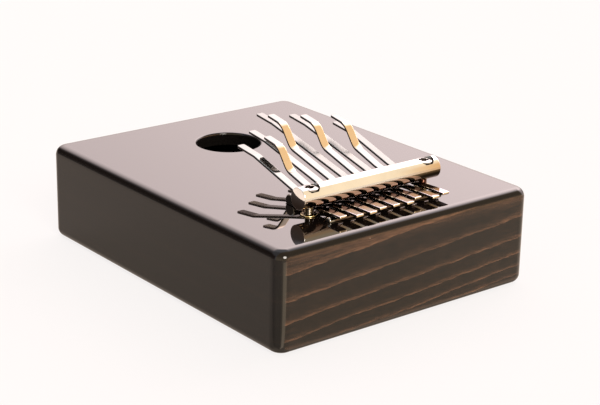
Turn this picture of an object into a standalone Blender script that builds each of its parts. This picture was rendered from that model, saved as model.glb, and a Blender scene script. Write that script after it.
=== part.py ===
"""A thumb piano (kalimba): sprung steel tines clamped on a hollow lacquered wooden box.

Units are metres and +Z is up. The origin is the centre of the box's underside, +X runs along the
pressure bar, and +Y points from the tails of the tines to their playing ends.
"""

import math

import bmesh
import bpy
from mathutils import Matrix, Vector

# Sound box, hollowed from one block and closed by a back plate
BOX_WIDTH = 0.1155
BOX_LENGTH = 0.145
BOX_HEIGHT = 0.037
CORNER_RADIUS = 0.0052
TOP_EDGE_RADIUS = 0.0037
BOTTOM_EDGE_RADIUS = 0.0033
WALL = 0.009
TOP_THICKNESS = 0.005
CAVITY_CORNER_RADIUS = 0.006
BACK_THICKNESS = 0.004
BACK_LEDGE = 0.003
HOLE_DIAMETER = 0.025
HOLE_SETBACK = 0.0375
HOLE_CHAMFER = 0.0006

# Pressure bar, its screws and their inserts
BAR_DIAMETER = 0.008
BAR_SETBACK = 0.024
BAR_LIFT = 0.00275
BAR_PAST_SCREW = 0.00535
BAR_CROWN = 0.00035
BAR_END_LEAN = 2.5
BAR_END_EASE = 0.0003
SCREW_DIAMETER = 0.003
SCREW_TO_TINE = 0.00045
SCREW_REACH = 0.009
HEAD_DIAMETER = 0.0062
HEAD_HEIGHT = 0.0011
HEAD_RIM = 0.0007
SPOT_FACE_CLEARANCE = 0.0005
SPOT_FACE_DEPTH = 0.0017
RECESS_SPAN = 0.0034
RECESS_FLOOR = 0.0018
RECESS_ARM = 0.0014
RECESS_DEPTH = 0.001
RECESS_TURNS = (-12.0, -39.0)
INSERT_WALL = 0.0005
INSERT_LENGTH = 0.0105
FLANGE_RIM = 0.0004
FLANGE_THICKNESS = 0.0008
FLANGE_PROUD = 0.0005

# Cross brace glued under the top, which takes the inserts
BRACE_DEPTH = 0.02
BRACE_HEIGHT = 0.012

# Bridges: rods let into grooves in the top, on either side of the bar
FRONT_BRIDGE_DIAMETER = 0.005
FRONT_BRIDGE_AHEAD = 0.0115
REAR_BRIDGE_DIAMETER = 0.003
REAR_BRIDGE_BEHIND = 0.0095
BRIDGE_OVERHANG = 0.0015
BRIDGE_END_ROUND = 0.0005

# Tines: flat spring steel. Slopes are in degrees above level, walking away from the bar.
TINE_PITCH = 0.0057
TINE_WIDTH = 0.0033
TINE_THICKNESS = 0.0009
TINE_EDGE = 0.00026
TIP_CORNER = 0.001
TAIL_CORNER = 0.0006
TAIL_SLOPE = 2.5
TAIL_BEND_RADIUS = 0.02
TAIL_END_SLOPE = 0.5
SEAT_SLOPE = 15.0
SET_PAST_BRIDGE = 0.003
SET_RADIUS = 0.02
LONG_BEND_RADIUS = 0.008
LONG_TIP_SLOPE = 7.0
LONG_TIP = 0.0095
SHORT_LOWER_RADIUS = 0.006
SHORT_STEEP_SLOPE = 53.0
SHORT_STEEP = 0.0048
SHORT_UPPER_RADIUS = 0.007
SHORT_TIP_SLOPE = 9.0
SHORT_TIP = 0.0056
STRAIGHT, BEND = "straight", "bend"

# The tines from left to right: how far each tip reaches past the front bridge and each tail past
# the rear one, and the slope that each blade is set to. Every second tine has the short, steep bend.
TIP_REACHES = (0.0334, 0.0252, 0.0419, 0.0380, 0.0524, 0.0331, 0.0470, 0.0291, 0.0347)
TAIL_REACHES = (0.0049, 0.0070, 0.0074, 0.0059, 0.0064, 0.0073, 0.0048, 0.0079, 0.0068)
BLADE_SLOPES = (15.8, 16.2, 13.7, 14.6, 13.2, 16.2, 13.6, 18.2, 16.7)

# Clearance left between pieces that touch, and how finely round forms are divided
SEAT_GAP = 0.0003
EDGE_STEPS = 5
CORNER_STEPS = 6
CROWN_STEPS = 4
ROD_SIDES = 40
HOLE_SIDES = 48
SCREW_SIDES = 24
ARC_STEP = 7.5
CUT_MARGIN = 0.002

# Places that follow from the sizes above
TOP_Z = BOX_HEIGHT
BAR_RADIUS = BAR_DIAMETER / 2
BAR_Y = -BOX_LENGTH / 2 + BAR_SETBACK
BAR_Z = TOP_Z + BAR_LIFT + BAR_RADIUS
HOLE_Y = BOX_LENGTH / 2 - HOLE_SETBACK
CAVITY_TOP_Z = TOP_Z - TOP_THICKNESS
BACK_SEAT_Z = BACK_THICKNESS + SEAT_GAP
SPOT_FACE_Z = BAR_Z + BAR_RADIUS - SPOT_FACE_DEPTH
SHANK_HOLE_RADIUS = SCREW_DIAMETER / 2 + SEAT_GAP
INSERT_RADIUS = SHANK_HOLE_RADIUS + INSERT_WALL
FLANGE_RADIUS = INSERT_RADIUS + SEAT_GAP + FLANGE_RIM
FLANGE_Z = TOP_Z + FLANGE_PROUD - FLANGE_THICKNESS
WRAP_RADIUS = BAR_RADIUS + SEAT_GAP + TINE_THICKNESS / 2
TINE_COUNT = len(TIP_REACHES)
TINES_SPAN = TINE_PITCH * (TINE_COUNT - 1) + TINE_WIDTH
SCREW_X = TINES_SPAN / 2 + SCREW_TO_TINE + SCREW_DIAMETER / 2
BAR_LENGTH = 2 * (SCREW_X + BAR_PAST_SCREW)
SPOT_FACE_RADIUS = HEAD_DIAMETER / 2 + SPOT_FACE_CLEARANCE
BRIDGE_LENGTH = TINES_SPAN + 2 * BRIDGE_OVERHANG


def slope_direction(slope):
    """The unit (y, z) step along a tine at this slope."""
    angle = math.radians(slope)
    return Vector((math.cos(angle), math.sin(angle)))


def slope_normal(slope):
    """The unit (y, z) direction out of a tine's upper face at this slope."""
    angle = math.radians(slope)
    return Vector((-math.sin(angle), math.cos(angle)))


def wrap_point(slope):
    """Where a tine's middle line leaves the bar's underside at this slope, measured from the bar's axis."""
    return -WRAP_RADIUS * slope_normal(slope)


def bridge_axis(side, distance, slope, diameter):
    """(y, z) of the rod under the tines, this far ahead of the bar (side 1) or behind it (side -1)."""
    start = wrap_point(slope)
    along = slope_direction(slope)
    to_rod = slope_normal(slope) * (diameter / 2 + SEAT_GAP + TINE_THICKNESS / 2)
    rod_place = start + along * (distance - start.x + to_rod.x) / along.x - to_rod
    return Vector((BAR_Y + side * rod_place.x, BAR_Z + rod_place.y))


FRONT_BRIDGE = bridge_axis(1, FRONT_BRIDGE_AHEAD, SEAT_SLOPE, FRONT_BRIDGE_DIAMETER)
REAR_BRIDGE = bridge_axis(-1, REAR_BRIDGE_BEHIND, TAIL_SLOPE, REAR_BRIDGE_DIAMETER)


def flex_point():
    """The (y, z) point, from the bar's axis, that a tine turns about: midway along its clamped stretch."""
    start = wrap_point(SEAT_SLOPE)
    along = slope_direction(SEAT_SLOPE)
    return start + along * (FRONT_BRIDGE_AHEAD / 2 - start.x) / along.x


def paint(name, colour, roughness, metallic=0.0, coat=0.0):
    """A Principled material, with a clear coat where the piece is lacquered."""
    material = bpy.data.materials.new(name)
    material.use_nodes = True
    shader = material.node_tree.nodes["Principled BSDF"]
    shader.inputs["Base Color"].default_value = (*colour, 1.0)
    shader.inputs["Roughness"].default_value = roughness
    shader.inputs["Metallic"].default_value = metallic
    shader.inputs["Coat Weight"].default_value = coat
    material.diffuse_color = (*colour, 1.0)
    return material


def make_object(name, mesh_builder, material, location=(0, 0, 0), smooth_angle=30):
    """One named object from a filled bmesh, shaded smooth up to the given angle."""
    mesh = bpy.data.meshes.new(name)
    bmesh.ops.recalc_face_normals(mesh_builder, faces=mesh_builder.faces)
    mesh_builder.to_mesh(mesh)
    mesh_builder.free()
    mesh.shade_smooth()
    mesh.set_sharp_from_angle(angle=math.radians(smooth_angle))
    made = bpy.data.objects.new(name, mesh)
    made.location = location
    bpy.context.scene.collection.objects.link(made)
    if material:
        mesh.materials.append(material)
    return made


def cut(target, cutter):
    """Takes the cutter's shape out of the target, and keeps the cutter as a hidden guide."""
    cutter.hide_render = True
    cutter.display_type = "WIRE"
    difference = target.modifiers.new("cut_" + cutter.name, "BOOLEAN")
    difference.operation = "DIFFERENCE"
    difference.solver = "EXACT"
    difference.object = cutter


def loft(rings):
    """A closed bmesh through rings of equal length, with flat ends."""
    built = bmesh.new()
    rows = [[built.verts.new(point) for point in ring] for ring in rings]
    count = len(rows[0])
    for lower, upper in zip(rows, rows[1:]):
        for i in range(count):
            j = (i + 1) % count
            built.faces.new((lower[i], lower[j], upper[j], upper[i]))
    built.faces.new(rows[0][::-1])
    built.faces.new(rows[-1])
    return built


def rounded_rectangle(width, length, radius, z):
    """Points of a rectangle with round corners, anticlockwise at height z."""
    points = []
    for quarter, (sx, sy) in enumerate(((1, 1), (-1, 1), (-1, -1), (1, -1))):
        centre = Vector((sx * (width / 2 - radius), sy * (length / 2 - radius), z))
        for step in range(CORNER_STEPS + 1):
            angle = math.pi / 2 * (quarter + step / CORNER_STEPS)
            points.append(centre + radius * Vector((math.cos(angle), math.sin(angle), 0)))
    return points


def plate(width, length, radius, low, high):
    """A flat plate with round corners between two heights."""
    return loft([rounded_rectangle(width, length, radius, z) for z in (low, high)])


def turned(profile, sides):
    """A solid turned about Z from (radius, height) points, listed from bottom to top."""
    rings = []
    for radius, z in profile:
        ring = []
        for i in range(sides):
            angle = 2 * math.pi * i / sides
            ring.append((radius * math.cos(angle), radius * math.sin(angle), z))
        rings.append(ring)
    return loft(rings)


def quarter_round(radius, centre_radius, centre_z, start, end):
    """(radius, height) points round a turned edge, between two angles in degrees."""
    points = []
    for step in range(EDGE_STEPS + 1):
        angle = math.radians(start + (end - start) * step / EDGE_STEPS)
        points.append((centre_radius + radius * math.cos(angle), centre_z + radius * math.sin(angle)))
    return points


def laid_along_x(built):
    """The turned solid, laid over so that its axis runs along X."""
    bmesh.ops.rotate(built, verts=built.verts, matrix=Matrix.Rotation(math.pi / 2, 3, "Y"))
    return built


def rod(length, diameter, end_round, sides):
    """A rod along X with rounded ends, centred on the origin."""
    inner, edge = diameter / 2 - end_round, length / 2 - end_round
    profile = quarter_round(end_round, inner, -edge, -90, 0) + quarter_round(end_round, inner, edge, 0, 90)
    return laid_along_x(turned(profile, sides))


def crowned_rod(length, diameter, crown, ease, lean, sides):
    """A rod along X with eased edges. Its ends swell by the crown and lean, in degrees, to face up."""
    radius = diameter / 2
    end = []
    for step in range(1, CROWN_STEPS + 1):
        ring = (radius - ease) * step / CROWN_STEPS
        end.append((ring, length / 2 - crown * (ring / radius) ** 2))
    end.append((radius, length / 2 - crown - ease))
    low_end = [(ring, -height) for ring, height in end]
    built = laid_along_x(turned(low_end + end[::-1], sides))
    for vert in built.verts:
        vert.co.x -= math.copysign(math.tan(math.radians(lean)), vert.co.x) * vert.co.z
    return built


def make_sound_box(wood):
    """The hollowed block, with its sound hole, grooves, insert holes and the ledge for the back."""
    levels = []
    for step in range(EDGE_STEPS + 1):
        angle = math.pi / 2 * step / EDGE_STEPS
        inset = BOTTOM_EDGE_RADIUS * (1 - math.sin(angle))
        levels.append((inset, BOTTOM_EDGE_RADIUS * (1 - math.cos(angle))))
    for step in range(EDGE_STEPS + 1):
        angle = math.pi / 2 * step / EDGE_STEPS
        inset = TOP_EDGE_RADIUS * (1 - math.cos(angle))
        levels.append((inset, TOP_Z - TOP_EDGE_RADIUS * (1 - math.sin(angle))))
    rings = []
    for inset, z in levels:
        size = (BOX_WIDTH - 2 * inset, BOX_LENGTH - 2 * inset)
        rings.append(rounded_rectangle(*size, CORNER_RADIUS - inset, z))
    box = make_object("sound_box", loft(rings), wood)

    cavity_size = (BOX_WIDTH - 2 * WALL, BOX_LENGTH - 2 * WALL)
    cavity = plate(*cavity_size, CAVITY_CORNER_RADIUS, -CUT_MARGIN, CAVITY_TOP_Z)
    cut(box, make_object("cavity_cutter", cavity, None))

    ledge_size = [side + 2 * (BACK_LEDGE + SEAT_GAP) for side in cavity_size]
    ledge_radius = CAVITY_CORNER_RADIUS + BACK_LEDGE + SEAT_GAP
    ledge = plate(*ledge_size, ledge_radius, -CUT_MARGIN, BACK_SEAT_Z)
    cut(box, make_object("ledge_cutter", ledge, None))

    hole_radius = HOLE_DIAMETER / 2
    flare = HOLE_CHAMFER + CUT_MARGIN
    hole_profile = (
        (hole_radius, CAVITY_TOP_Z - CUT_MARGIN),
        (hole_radius, TOP_Z - HOLE_CHAMFER),
        (hole_radius + flare, TOP_Z + CUT_MARGIN),
    )
    hole = turned(hole_profile, HOLE_SIDES)
    cut(box, make_object("sound_hole_cutter", hole, None, (0, HOLE_Y, 0)))

    for name, axis, diameter in (
        ("front_groove_cutter", FRONT_BRIDGE, FRONT_BRIDGE_DIAMETER),
        ("rear_groove_cutter", REAR_BRIDGE, REAR_BRIDGE_DIAMETER),
    ):
        around = 2 * SEAT_GAP
        groove = rod(BRIDGE_LENGTH + around, diameter + around, BRIDGE_END_ROUND, ROD_SIDES)
        cut(box, make_object(name, groove, None, (0, *axis)))

    for side, x in screw_places():
        bore, recess = INSERT_RADIUS + SEAT_GAP, FLANGE_RADIUS + SEAT_GAP
        profile = (
            (bore, CAVITY_TOP_Z - CUT_MARGIN),
            (bore, FLANGE_Z - SEAT_GAP),
            (recess, FLANGE_Z - SEAT_GAP),
            (recess, TOP_Z + CUT_MARGIN),
        )
        cut(box, make_object(f"box_bore_cutter_{side}", turned(profile, SCREW_SIDES), None, (x, BAR_Y, 0)))
    return box


def make_back_plate(wood):
    """The back, let into the ledge flush with the underside."""
    width = BOX_WIDTH - 2 * WALL + 2 * BACK_LEDGE
    length = BOX_LENGTH - 2 * WALL + 2 * BACK_LEDGE
    back = plate(width, length, CAVITY_CORNER_RADIUS + BACK_LEDGE, 0, BACK_THICKNESS)
    return make_object("back_plate", back, wood)


def screw_places():
    """The name and x of each screw."""
    return (("left", -SCREW_X), ("right", SCREW_X))


def make_bridge_brace(wood):
    """The cross brace under the top, from wall to wall below the bar."""
    width = BOX_WIDTH - 2 * WALL - 2 * SEAT_GAP
    top = CAVITY_TOP_Z - SEAT_GAP
    outline = [(-width / 2, -BRACE_DEPTH / 2), (width / 2, -BRACE_DEPTH / 2),
               (width / 2, BRACE_DEPTH / 2), (-width / 2, BRACE_DEPTH / 2)]
    rings = [[(x, BAR_Y + y, z) for x, y in outline] for z in (top - BRACE_HEIGHT, top)]
    brace = make_object("bridge_brace", loft(rings), wood)
    for side, x in screw_places():
        bore = INSERT_RADIUS + SEAT_GAP
        profile = ((bore, top - BRACE_HEIGHT - CUT_MARGIN), (bore, top + CUT_MARGIN))
        cutter = make_object(f"brace_bore_cutter_{side}", turned(profile, SCREW_SIDES), None, (x, BAR_Y, 0))
        cut(brace, cutter)
    return brace


def make_pressure_bar(chrome):
    """The round bar with slightly crowned ends, spot-faced and bored for its screws."""
    shape = crowned_rod(BAR_LENGTH, BAR_DIAMETER, BAR_CROWN, BAR_END_EASE, BAR_END_LEAN, ROD_SIDES)
    bar = make_object("pressure_bar", shape, chrome, (0, BAR_Y, BAR_Z))
    for side, x in screw_places():
        top = BAR_Z + BAR_RADIUS + CUT_MARGIN
        profile = (
            (SHANK_HOLE_RADIUS, BAR_Z - BAR_RADIUS - CUT_MARGIN),
            (SHANK_HOLE_RADIUS, SPOT_FACE_Z),
            (SPOT_FACE_RADIUS, SPOT_FACE_Z),
            (SPOT_FACE_RADIUS, top),
        )
        cut(bar, make_object(f"bar_bore_cutter_{side}", turned(profile, SCREW_SIDES), None, (x, BAR_Y, 0)))
    return bar


def recess_arm(head_top, turn):
    """One arm of a cross recess: a slot across the head that narrows towards its floor."""
    widening = (RECESS_SPAN - RECESS_FLOOR) / RECESS_DEPTH
    rings = []
    for z, span in (
        (head_top - RECESS_DEPTH, RECESS_FLOOR),
        (head_top + CUT_MARGIN, RECESS_SPAN + widening * CUT_MARGIN),
    ):
        corners = ((1, 1), (-1, 1), (-1, -1), (1, -1))
        rings.append([(sx * span / 2, sy * RECESS_ARM / 2, z) for sx, sy in corners])
    built = loft(rings)
    bmesh.ops.rotate(built, verts=built.verts, matrix=Matrix.Rotation(math.radians(turn), 3, "Z"))
    return built


def make_bar_screw(side, x, turn, steel):
    """A pan-head screw: domed head with a cross recess, on a plain shank."""
    seat = SPOT_FACE_Z + SEAT_GAP
    head_radius = HEAD_DIAMETER / 2
    dome = HEAD_HEIGHT - HEAD_RIM
    profile = [(SCREW_DIAMETER / 2, TOP_Z - SCREW_REACH), (SCREW_DIAMETER / 2, seat), (head_radius, seat)]
    for step in range(EDGE_STEPS):
        angle = math.pi / 2 * step / EDGE_STEPS
        profile.append((head_radius * math.cos(angle), seat + HEAD_RIM + dome * math.sin(angle)))
    screw = make_object(f"bar_screw_{side}", turned(profile, SCREW_SIDES), steel, (x, BAR_Y, 0))

    head_top = seat + HEAD_HEIGHT
    for arm, quarter in (("first", 0), ("second", 90)):
        shape = recess_arm(head_top, turn + quarter)
        cut(screw, make_object(f"{arm}_recess_cutter_{side}", shape, None, (x, BAR_Y, 0)))
    return screw


def make_screw_insert(side, x, brass):
    """A flanged insert through the top and into the brace, bored for the screw."""
    profile = (
        (INSERT_RADIUS, TOP_Z - INSERT_LENGTH),
        (INSERT_RADIUS, FLANGE_Z),
        (FLANGE_RADIUS, FLANGE_Z),
        (FLANGE_RADIUS, FLANGE_Z + FLANGE_THICKNESS),
    )
    insert = make_object(f"screw_insert_{side}", turned(profile, SCREW_SIDES), brass, (x, BAR_Y, 0))
    bore = ((SHANK_HOLE_RADIUS, TOP_Z - INSERT_LENGTH - CUT_MARGIN), (SHANK_HOLE_RADIUS, BAR_Z))
    cut(insert, make_object(f"insert_bore_cutter_{side}", turned(bore, SCREW_SIDES), None, (x, BAR_Y, 0)))
    return insert


def make_bridge(name, axis, diameter, steel):
    """A bridge rod, lying in its groove in the top."""
    shape = rod(BRIDGE_LENGTH, diameter, BRIDGE_END_ROUND, ROD_SIDES)
    return make_object(name, shape, steel, (0, *axis))


def walked(place, slope, steps):
    """(place, slope) stations along straights and bends, from a starting place and slope."""
    stations = [(place, slope)]
    for kind, size, *target in steps:
        if kind == STRAIGHT:
            place = place + slope_direction(slope) * size
            stations.append((place, slope))
            continue
        turn = target[0] - slope
        centre = place + slope_normal(slope) * math.copysign(size, turn)
        parts = max(1, math.ceil(abs(turn) / ARC_STEP))
        for part in range(1, parts + 1):
            bent = slope + turn * part / parts
            stations.append((centre - slope_normal(bent) * math.copysign(size, turn), bent))
        place, slope = stations[-1]
    return stations


def walked_to(reach, stations, end=()):
    """The stations carried straight on, then round the end steps, so that they finish at this reach."""
    place, slope = stations[-1]
    end_run = walked(Vector((0, 0)), slope, end)[-1][0].x
    straight = (reach - place.x - end_run) / slope_direction(slope).x
    return stations + walked(place, slope, [(STRAIGHT, straight), *end])[1:]


def tine_path(number, tip_reach, tail_reach, blade_slope):
    """(place, slope) stations of a tine's middle line from tail to tip, measured from the bar's axis."""
    leave = wrap_point(TAIL_SLOPE)
    behind = walked(leave, TAIL_SLOPE, [
        (STRAIGHT, (REAR_BRIDGE_BEHIND - leave.x) / slope_direction(TAIL_SLOPE).x),
        (BEND, TAIL_BEND_RADIUS, TAIL_END_SLOPE),
    ])
    behind = walked_to(REAR_BRIDGE_BEHIND + tail_reach, behind)
    tail = [(Vector((-place.x, place.y)), -slope) for place, slope in reversed(behind)]

    seat_run = FRONT_BRIDGE_AHEAD + SET_PAST_BRIDGE - wrap_point(SEAT_SLOPE).x
    ahead = walked(*tail[-1], [
        (BEND, WRAP_RADIUS, SEAT_SLOPE),
        (STRAIGHT, seat_run / slope_direction(SEAT_SLOPE).x),
        (BEND, SET_RADIUS, blade_slope),
    ])
    long_end = [
        (BEND, LONG_BEND_RADIUS, LONG_TIP_SLOPE),
        (STRAIGHT, LONG_TIP),
    ]
    short_end = [
        (BEND, SHORT_LOWER_RADIUS, SHORT_STEEP_SLOPE),
        (STRAIGHT, SHORT_STEEP),
        (BEND, SHORT_UPPER_RADIUS, SHORT_TIP_SLOPE),
        (STRAIGHT, SHORT_TIP),
    ]
    ahead = walked_to(FRONT_BRIDGE_AHEAD + tip_reach, ahead, long_end if number % 2 else short_end)
    return tail[:-1] + ahead


def rounded_end(stations, corner):
    """The stations with the first one spread over a rounded end, as (place, slope, half width)."""
    half = TINE_WIDTH / 2
    (place, slope), rest = stations[0], stations[1:]
    towards = (rest[0][0] - place).normalized()
    spread = []
    for step in range(CORNER_STEPS // 2 + 1):
        angle = math.pi / 2 * step / (CORNER_STEPS // 2)
        inward = corner * (1 - math.cos(angle))
        spread.append((place + towards * inward, slope, half - corner + corner * math.sin(angle)))
    return spread + [(where, bent, half) for where, bent in rest]


def make_tine(number, tip_reach, tail_reach, blade_slope, steel):
    """A flat tine with eased edges, its origin on the line that it flexes about."""
    path = tine_path(number, tip_reach, tail_reach, blade_slope)
    tail = rounded_end(path, TAIL_CORNER)
    tip = rounded_end(path[::-1], TIP_CORNER)
    stations = tail[:-1] + tip[:-len(path) + 1][::-1]
    flex = flex_point()
    half_thick = TINE_THICKNESS / 2
    rings = []
    for place, slope, half in stations:
        normal = slope_normal(slope)
        section = (
            (half - TINE_EDGE, -half_thick), (half, TINE_EDGE - half_thick),
            (half, half_thick - TINE_EDGE), (half - TINE_EDGE, half_thick),
            (TINE_EDGE - half, half_thick), (-half, half_thick - TINE_EDGE),
            (-half, TINE_EDGE - half_thick), (TINE_EDGE - half, -half_thick),
        )
        rings.append([(x, *(place + normal * rise - flex)) for x, rise in section])
    x = (number - (TINE_COUNT + 1) / 2) * TINE_PITCH
    return make_object(f"tine_{number}", loft(rings), steel, (x, BAR_Y + flex.x, BAR_Z + flex.y), 25)


def main():
    for existing in list(bpy.data.objects):
        bpy.data.objects.remove(existing)
    lacquered_wood = paint("lacquered_wood", (0.030, 0.020, 0.014), 0.35, coat=1.0)
    bare_wood = paint("bare_wood", (0.32, 0.20, 0.11), 0.6)
    chrome = paint("chrome", (0.90, 0.89, 0.87), 0.06, metallic=1.0)
    spring_steel = paint("spring_steel", (0.88, 0.87, 0.85), 0.10, metallic=1.0)
    screw_steel = paint("screw_steel", (0.78, 0.77, 0.75), 0.15, metallic=1.0)
    brass = paint("brass", (0.80, 0.62, 0.28), 0.20, metallic=1.0)

    make_sound_box(lacquered_wood)
    make_back_plate(lacquered_wood)
    make_bridge_brace(bare_wood)
    make_pressure_bar(chrome)
    make_bridge("front_bridge", FRONT_BRIDGE, FRONT_BRIDGE_DIAMETER, chrome)
    make_bridge("rear_bridge", REAR_BRIDGE, REAR_BRIDGE_DIAMETER, chrome)
    for (side, x), turn in zip(screw_places(), RECESS_TURNS):
        make_bar_screw(side, x, turn, screw_steel)
        make_screw_insert(side, x, brass)
    for number, sizes in enumerate(zip(TIP_REACHES, TAIL_REACHES, BLADE_SLOPES), start=1):
        make_tine(number, *sizes, spring_steel)


if __name__ == "__main__":
    main()
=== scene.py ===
"""Looks of the thumb piano: finer pieces over the packed frame, their finishes and a plain stage.

Units are metres, in the frame's own axes: +X along the bar, +Y from the tails of the tines
to their playing ends, +Z up from the underside of the box.
"""

import math

import bmesh
import bpy
from bpy.props import FloatProperty, FloatVectorProperty, PointerProperty
from mathutils import Matrix, Vector


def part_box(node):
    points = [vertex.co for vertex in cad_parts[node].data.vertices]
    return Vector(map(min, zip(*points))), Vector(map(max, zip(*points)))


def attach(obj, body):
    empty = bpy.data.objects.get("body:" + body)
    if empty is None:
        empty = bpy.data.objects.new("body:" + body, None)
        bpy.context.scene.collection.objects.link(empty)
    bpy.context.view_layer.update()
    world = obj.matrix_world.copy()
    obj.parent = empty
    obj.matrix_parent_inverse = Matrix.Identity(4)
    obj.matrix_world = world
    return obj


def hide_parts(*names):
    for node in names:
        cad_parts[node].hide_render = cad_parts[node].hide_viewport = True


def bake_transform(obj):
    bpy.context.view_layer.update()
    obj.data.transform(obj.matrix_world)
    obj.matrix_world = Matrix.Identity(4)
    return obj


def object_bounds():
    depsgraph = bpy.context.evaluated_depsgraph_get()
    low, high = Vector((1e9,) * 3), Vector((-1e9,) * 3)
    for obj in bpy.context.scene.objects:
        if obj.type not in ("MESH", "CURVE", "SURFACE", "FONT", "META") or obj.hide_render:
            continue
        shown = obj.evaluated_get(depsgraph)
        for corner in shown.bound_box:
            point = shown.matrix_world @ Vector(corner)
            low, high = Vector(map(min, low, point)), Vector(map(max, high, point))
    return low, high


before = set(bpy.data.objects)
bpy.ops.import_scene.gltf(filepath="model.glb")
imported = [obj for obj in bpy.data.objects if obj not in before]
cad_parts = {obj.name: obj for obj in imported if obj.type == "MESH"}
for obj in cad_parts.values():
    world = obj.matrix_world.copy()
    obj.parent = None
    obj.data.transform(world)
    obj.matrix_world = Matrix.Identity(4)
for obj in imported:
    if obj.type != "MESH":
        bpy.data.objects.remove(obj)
CAD_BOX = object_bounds()

bl_info = {
    "name": "Kalimba looks",
    "version": (1, 0, 0),
    "blender": (4, 5, 0),
    "location": "View3D > Sidebar > Kalimba",
    "description": "Builds a thumb piano's finished pieces over its packed frame, on a plain stage",
    "category": "Object",
}

FIXED_BODY = "box"

# How finely round forms are divided, and up to which angles in degrees they are shaded smooth
EDGE_STEPS = 12
CORNER_STEPS = 14
ROD_SIDES = 128
TURNED_SIDES = 96
ARC_STEP = 1.5
STRAIGHT_STEP = 0.0015
SECTION_STEPS = 6
THREAD_STEPS = 8
CROWN_STEPS = 24
SMOOTH_ANGLE = 30
TINE_SMOOTH_ANGLE = 40

# How far a cutter stands past what it cuts, and where the hole's lip begins, in degrees
CUT_MARGIN = 0.002
LIP_START = 174


def middle(node):
    """The middle of a CAD node's box."""
    low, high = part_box(node)
    return (low + high) / 2


def extent(node):
    """The three sides of a CAD node's box."""
    low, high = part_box(node)
    return high - low


# Places and sizes taken from the frame
TOP_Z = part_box("sound_box")[1].z
BAR = middle("pressure_bar")
BAR_RADIUS = extent("pressure_bar").z / 2
SIDES = ("left", "right")
BRIDGES = ("front_bridge", "rear_bridge")
TINE_COUNT = 9


def setting(kind, **fixed):
    """A maker of settings of one kind, from their name, description and default."""
    return lambda name, description, default: kind(
        name=name, description=description, default=default, **fixed)


millimetres = setting(FloatProperty)
metres = setting(FloatProperty, subtype="DISTANCE")
radians = setting(FloatProperty, subtype="ANGLE")
tint = setting(FloatVectorProperty, size=3, subtype="COLOR")
light = setting(FloatVectorProperty, size=3)
xyz = setting(FloatVectorProperty, size=3, subtype="XYZ")


class KalimbaBox(bpy.types.PropertyGroup):
    """Sizes and colours of the sound box."""

    corner_radius: metres("Corner radius", "Radius of the upright corners", 0.0052)
    top_edge: metres("Top edge", "Radius of the top's edge", 0.0037)
    bottom_edge: metres("Bottom edge", "Radius of the underside's edge", 0.0033)
    wall: metres("Wall", "Thickness of the sides", 0.009)
    top_thickness: metres("Top thickness", "Thickness of the top", 0.005)
    cavity_corner: metres("Cavity corner", "Radius of the chamber's corners", 0.006)
    hole_diameter: metres("Sound hole", "Diameter of the sound hole", 0.025)
    hole_setback: metres("Hole setback", "From the playing end to its centre", 0.0375)
    hole_lip: metres("Hole lip", "Radius of the sound hole's edge", 0.0008)
    clearance: metres("Clearance", "Gap around pieces let into the box", 0.0003)
    wood_dark: tint("Dark wood", "Wood between the growth rings", (0.0028, 0.0025, 0.0026))
    wood_top: tint("Top wood", "Stain on the top and the underside", (0.003, 0.002, 0.0015))
    wood_ring: tint("Ring", "Brown of the growth rings", (0.165, 0.084, 0.048))
    wood_speck: tint("Speck", "Pale pores under the lacquer", (0.35, 0.27, 0.20))
    inside: tint("Inside", "Wood of the chamber", (0.0030, 0.0026, 0.0025))
    bare: tint("Bare wood", "Wood of the brace", (0.32, 0.20, 0.11))


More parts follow.
